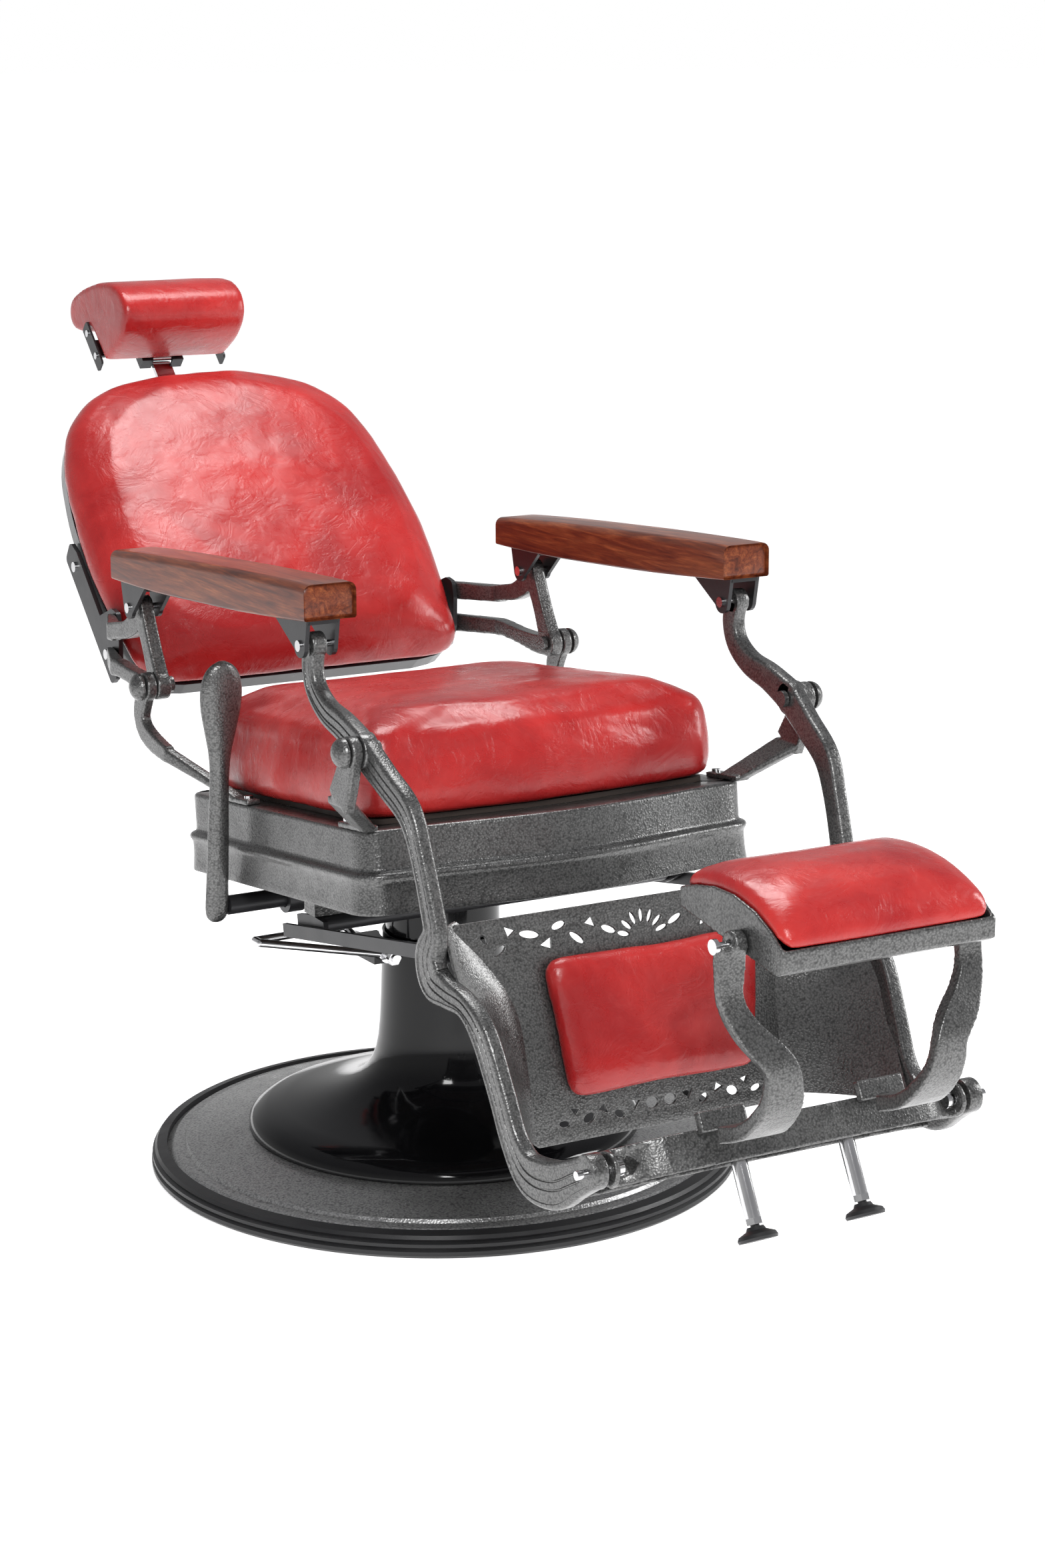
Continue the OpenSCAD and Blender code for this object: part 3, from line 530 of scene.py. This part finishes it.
pad_outline = even(corner_arc((-106, 67), 19, 180, 270) + corner_arc((106, 67), 19, -90, 0)
                   + corner_arc((120, 188), 19, 0, 90) + corner_arc((-120, 188), 19, 90, 180), 96)
pad("legrest_pad_leather", "seat_leather", "legrest", "legrest_pad", pad_outline,
    [(60, 6), (4, 6), (0, 9), (0, 16), (3, 23), (10, 28), (24, 31), (46, 33), (68, 34)],
    PANEL, press=2.0, cap=0.003, voxel=0.004,
    hold=lambda co: False)


# ---- Base ----
bell_out = [(0.25, 0.047), (0.25, 0.055), (0.2445, 0.061), (0.236, 0.066)] + [
    ((77 + (300 - z) * 0.03 + 143 * exp(-(z - 70) / 22)) * MM, z * MM)
    for z in (70, 74, 79, 85, 92, 100, 109, 119, 131, 145, 162, 185, 215, 250, 285, 300)]
Solid().lathe(bell_out + [(r - 0.003, h - 0.001) for r, h in reversed(bell_out)], seg=128).done(
    "bell_cover_shell", "black_enamel", "base", "bell_cover", angle=60)

# ---- Seat frame: a wall with a bead and a flared skirt, bowed in front ----
front = [(x, -298 - 17.5 * (1 + cos(pi * x / 260))) for x in (-216 + 18 * k for k in range(25))]
plan = even(corner_arc((-232, -270), 28, 180, 270) + front + corner_arc((232, -270), 28, -90, 0)
            + corner_arc((232, 171), 28, 0, 90) + corner_arc((-232, 171), 28, 90, 180), 220)
wall = [(-56, -8), (-56, -1), (-55, 0), (-6, 0), (-2, -0.8), (-0.5, -2.5), (0, -5), (0, -44),
        (0.6, -46.5), (3, -48.6), (6.5, -49.8), (8.6, -52), (9, -54.5), (8.2, -57), (6.6, -59),
        (5.6, -62), (5.4, -68), (5.8, -80), (6.8, -90), (7.6, -95), (7.2, -97.4), (5, -98),
        (1, -98), (-2, -88), (-5, -68), (-7, -50), (-7, -8)]
rows = []
for k, (x, y) in enumerate(plan):
    a, b = plan[k - 1], plan[(k + 1) % len(plan)]
    out = Vector((b[1] - a[1], a[0] - b[0])).normalized()
    rows.append([SEAT(x + out.x * g, y + out.y * g, h) for g, h in wall])
Solid().loft(rows, loop=True).done("seat_frame_casting", "casting", "seat", "seat_frame", angle=50)

# ---- Front arms ----
UPPER = [(-232, 728, 14), (-226, 702, 14), (-236, 676, 14), (-266, 656, 15), (-308, 645, 17),
         (-353, 628, 20)]
LOWER = [(-353, 628, 20), (-395, 602, 18), (-440, 573, 17), (-462, 530, 14), (-481, 474, 14.5),
         (-487, 448, 16), (-478, 420, 23), (-486, 396, 24), (-512, 387, 17), (-547, 380, 14),
         (-578, 354, 18), (-608, 300, 18), (-632, 252, 19), (-662, 224, 25), (-706, 225, 26),
         (-742, 243, 21), (-768, 258, 19)]
SLANT = radians(6.3)
ARM_X, ARM_T = 286, 18


def slanted(y):
    return ARM_X + (y + 353) * sin(SLANT), -353 + (y + 353) * cos(SLANT)


def boss(s, sign, x0, x1, y, z, r, edge=2):
    """A round boss along X with rounded edges, in millimetres."""
    r, e = r * MM, edge * MM
    h = (x1 - x0) * MM
    s.lathe([(0, 0), (r - e, 0), (r - 0.3 * e, 0.3 * e), (r, e), (r, h - e),
             (r - 0.3 * e, h - 0.3 * e), (r - e, h), (0, h)],
            Vector((sign * x0, y, z)) * MM, (sign, 0, 0), 40)


for sign, side in ((-1, "right"), (1, "left")):
    s = Solid()
    s.bar([(sign * ARM_X * MM, y * MM, z * MM, 2 * h * MM, ARM_T * MM)
           for y, z, h in curve(UPPER, 6)], (sign, 0, 0), grooved)
    low = []
    for y, z, h in curve(LOWER, 6):
        x, y = slanted(y)
        low.append((sign * x * MM, y * MM, z * MM, 2 * h * MM, ARM_T * MM))
    s.bar(low, (sign, 0, 0), grooved)
    boss(s, sign, 277, 295, -232, 728, 15)
    boss(s, sign, 277, 295.4, -353, 628, 20.5)
    x, y = slanted(-768)
    boss(s, sign, x - 9, x + 9, y, 258, 19.5)
    s.done("front_arm_%s_casting" % side, "casting", "legrest", "front_arm_" + side, angle=35)


# ---- Leg rest: pierced panel and its coves ----
def oval(at, a, b, turn):
    c, q = cos(radians(turn)), sin(radians(turn))
    return [(at[0] + a * cos(t) * c - b * sin(t) * q, at[1] + a * cos(t) * q + b * sin(t) * c)
            for t in (2 * pi * k / 22 for k in range(22))]


def wedge(at, a, turn):
    c, q = cos(radians(turn)), sin(radians(turn))
    return [(at[0] + x * c - y * q, at[1] + x * q + y * c)
            for x, y in ((-a, -0.6 * a), (a, -0.5 * a), (0.1 * a, 0.8 * a))]


TOP, LOW = 232, 24
holes = [oval((26 * sin(radians(t)), TOP - 18 + 24 * cos(radians(t))), 3.6, 9, -t)
         for t in range(-75, 76, 25)]
side_holes = [oval((44, TOP - 4), 11, 4.5, 24), wedge((66, TOP + 8), 9, 20),
              oval((86, TOP - 8), 12, 4.5, 38), oval((108, TOP + 9), 10, 5, -12),
              wedge((124, TOP - 10), 10, 150), oval((146, TOP + 4), 14, 5, 12),
              wedge((172, TOP + 10), 9, 200), oval((186, TOP - 9), 10, 4.5, -30),
              oval((204, TOP + 6), 7, 4, 60), oval((12, LOW + 2), 9, 7, 0),
              wedge((36, LOW + 4), 9, 185), oval((56, LOW - 4), 8, 5, 30),
              wedge((76, LOW + 6), 8, 20), oval((96, LOW - 2), 9, 6, -20),
              wedge((114, LOW + 8), 7, 190), oval((128, LOW - 4), 8, 4.5, 10)]
for hole in side_holes:
    holes += [hole, [(-x, y) for x, y in reversed(hole)]]
edge = [(0, 258), (236, 258), (241, 253), (236, 224), (218, 176), (200, 130), (182, 66), (168, 4),
        (163, 0)]
edge += [(-x, y) for x, y in reversed(edge[1:])]
sheet = bpy.data.curves.new("panel", "CURVE")
sheet.dimensions = "2D"
sheet.fill_mode = "BOTH"
sheet.extrude = 0.0017
sheet.bevel_depth = 0.0008
for ring in [edge] + holes:
    line = sheet.splines.new("POLY")
    line.points.add(len(ring) - 1)
    for point, (x, y) in zip(line.points, ring):
        point.co = (x * MM, y * MM, 0, 1)
    line.use_cyclic_u = True
cut = bpy.data.objects.new("panel", sheet)
scene.collection.objects.link(cut)
bpy.context.view_layer.update()
flat = bpy.data.meshes.new_from_object(cut.evaluated_get(bpy.context.evaluated_depsgraph_get()))
bpy.data.objects.remove(cut)
s = Solid()
s.bm.from_mesh(flat)
for v in s.bm.verts:
    v.co = PANEL(*(v.co / MM + Vector((0, 0, 2.5))))
for sign in (-1, 1):
    rows = []
    for inner, corner, outer in zip(
            curve([(232, -462, 450), (186, -474, 404), (160, -487, 348), (158, -501, 286),
                   (160, -519, 203)], 5),
            curve([(258, -472, 448), (246, -484, 404), (222, -500, 348), (212, -520, 286),
                   (206, -545, 205)], 5),
            curve([(262, -500, 436), (262, -530, 392), (256, -588, 348), (250, -616, 290),
                   (238, -668, 222)], 5)):
        a, b, c = Vector(inner), Vector(corner), Vector(outer)
        face = [a * (1 - t) ** 2 + b * 2 * t * (1 - t) + c * t * t
                for t in (k / 12 for k in range(13))]
        back = [p + Vector((1.5, 3, 0)) for p in reversed(face)]
        rows.append([Vector((sign * p.x, p.y, p.z)) * MM for p in face + back])
    s.loft(rows)
s.done("legrest_panel_casting", "casting", "legrest", "legrest_panel", angle=35)

# ---- Armrests ----
for sign, side in ((-1, "right"), (1, "left")):
    s = Solid()
    rings = []
    for y, low, high, inset in curve([(-257.5, 761, 797, 4), (-255, 759.5, 800, 0.8),
                                      (-248, 759, 801.5, 0), (-100, 747, 795, 0),
                                      (20, 740, 788, 0), (160, 733, 779, 0),
                                      (286, 731, 769, 0), (293, 731.5, 767, 0.8),
                                      (296, 733, 765, 4)], 3):
        ring = []
        for a, b, r, q0 in ((1, 1, 10, 0), (-1, 1, 10, 90), (-1, -1, 3, 180), (1, -1, 3, 270)):
            half = 33 - inset
            edge_z = high - inset if b > 0 else low + inset
            for k in range(7):
                q = radians(q0 + 15 * k)
                ring.append(Vector((sign * (280 + a * (half - r) + r * cos(q)), y,
                                    edge_z - b * r + r * sin(q))) * MM)
        rings.append(ring)
    s.loft(rings).done("armrest_%s_wood" % side, "armrest_wood", "armrest_%s_side" % side,
                       "armrest_" + side, angle=50)

# ---- Recline lever: a spoon-shaped handle ----
LEAN = radians(5.9)
LEVER = [(-20, 3, 2), (-18, 8, 5.5), (-12, 13, 8.5), (0, 15, 9.5), (30, 14.5, 9.5),
         (60, 14, 9.5), (100, 13.5, 9.5), (140, 12.5, 9.5), (172, 12.5, 9.5), (198, 14.5, 10),
         (225, 20, 11), (255, 26, 12), (280, 27, 11.5), (298, 23, 9.5), (309, 15, 7), (315, 4, 2)]
rings = []
for h, a, b in curve(LEVER, 4):
    rings.append([Vector((-289 + a * cos(q), 50 - h * sin(LEAN) + b * sin(q),
                          355 + h * cos(LEAN))) * MM
                  for q in (2 * pi * k / 28 for k in range(28))])
Solid().loft(rings).done("recline_lever_casting", "casting", "lever", "recline_lever", angle=70)

# ---- Headrest ----
HEAD = [(680, -188), (664, -130), (668, -88), (694, -72), (730, -84), (766, -118), (800, -168),
        (822, -214), (818, -238), (798, -246), (772, -230), (754, -210), (744, -190)]
head = even(curve(HEAD + HEAD[:1], 4)[:-1], 96)


def head_at(a, b, h):
    return BACK(h, a, b)


pad("headrest_cushion_leather", "seat_leather", "headrest", "headrest_cushion", head,
    [(34, -92), (9, -93.4), (3, -92.6), (0.6, -90.4), (0, -86), (0, -45), (0, 0), (0, 45), (0, 86),
     (0.6, 90.4), (3, 92.6), (9, 93.4), (34, 92)], head_at, lumps=0.0008, press=1.0,
    cap=0.002, voxel=0.004)

# ---- Tread cushion, over the arch of its frame ----
CHORD = space(7.9, -850.5, 532)


def tread_at(x, u, h):
    return CHORD(x, u, 27 * max(0, 1 - (u / 97) ** 2) ** 0.75 + h - 1)


tread_plan = even(corner_arc((-115, -78), 14, 180, 270) + corner_arc((115, -78), 14, -90, 0)
                  + corner_arc((115, 80), 14, 0, 90) + corner_arc((-115, 80), 14, 90, 180), 110)
pad("tread_pad_leather", "tread_leather", "tread", "tread_pad", tread_plan,
    [(60, -9), (6, -9), (1, -7), (0, -3), (1, 2), (4, 6.5), (11, 10.5), (26, 14.5), (48, 17.5),
     (84, 19)], tread_at, lumps=0.0008, press=1.5, cap=0.003, voxel=0.004)

# ---- Castings in the shape of their CAD nodes ----
for name, body in (("front_stanchion_right", "seat"), ("front_stanchion_left", "seat"),
                   ("rear_stanchion_right", "seat"), ("rear_stanchion_left", "seat"),
                   ("rear_arm_right", "back"), ("rear_arm_left", "back"),
                   ("tread_arm_right", "footrest"), ("tread_arm_left", "footrest"),
                   ("footrest_frame", "footrest"), ("tread_frame", "tread")):
    soften(name, body)
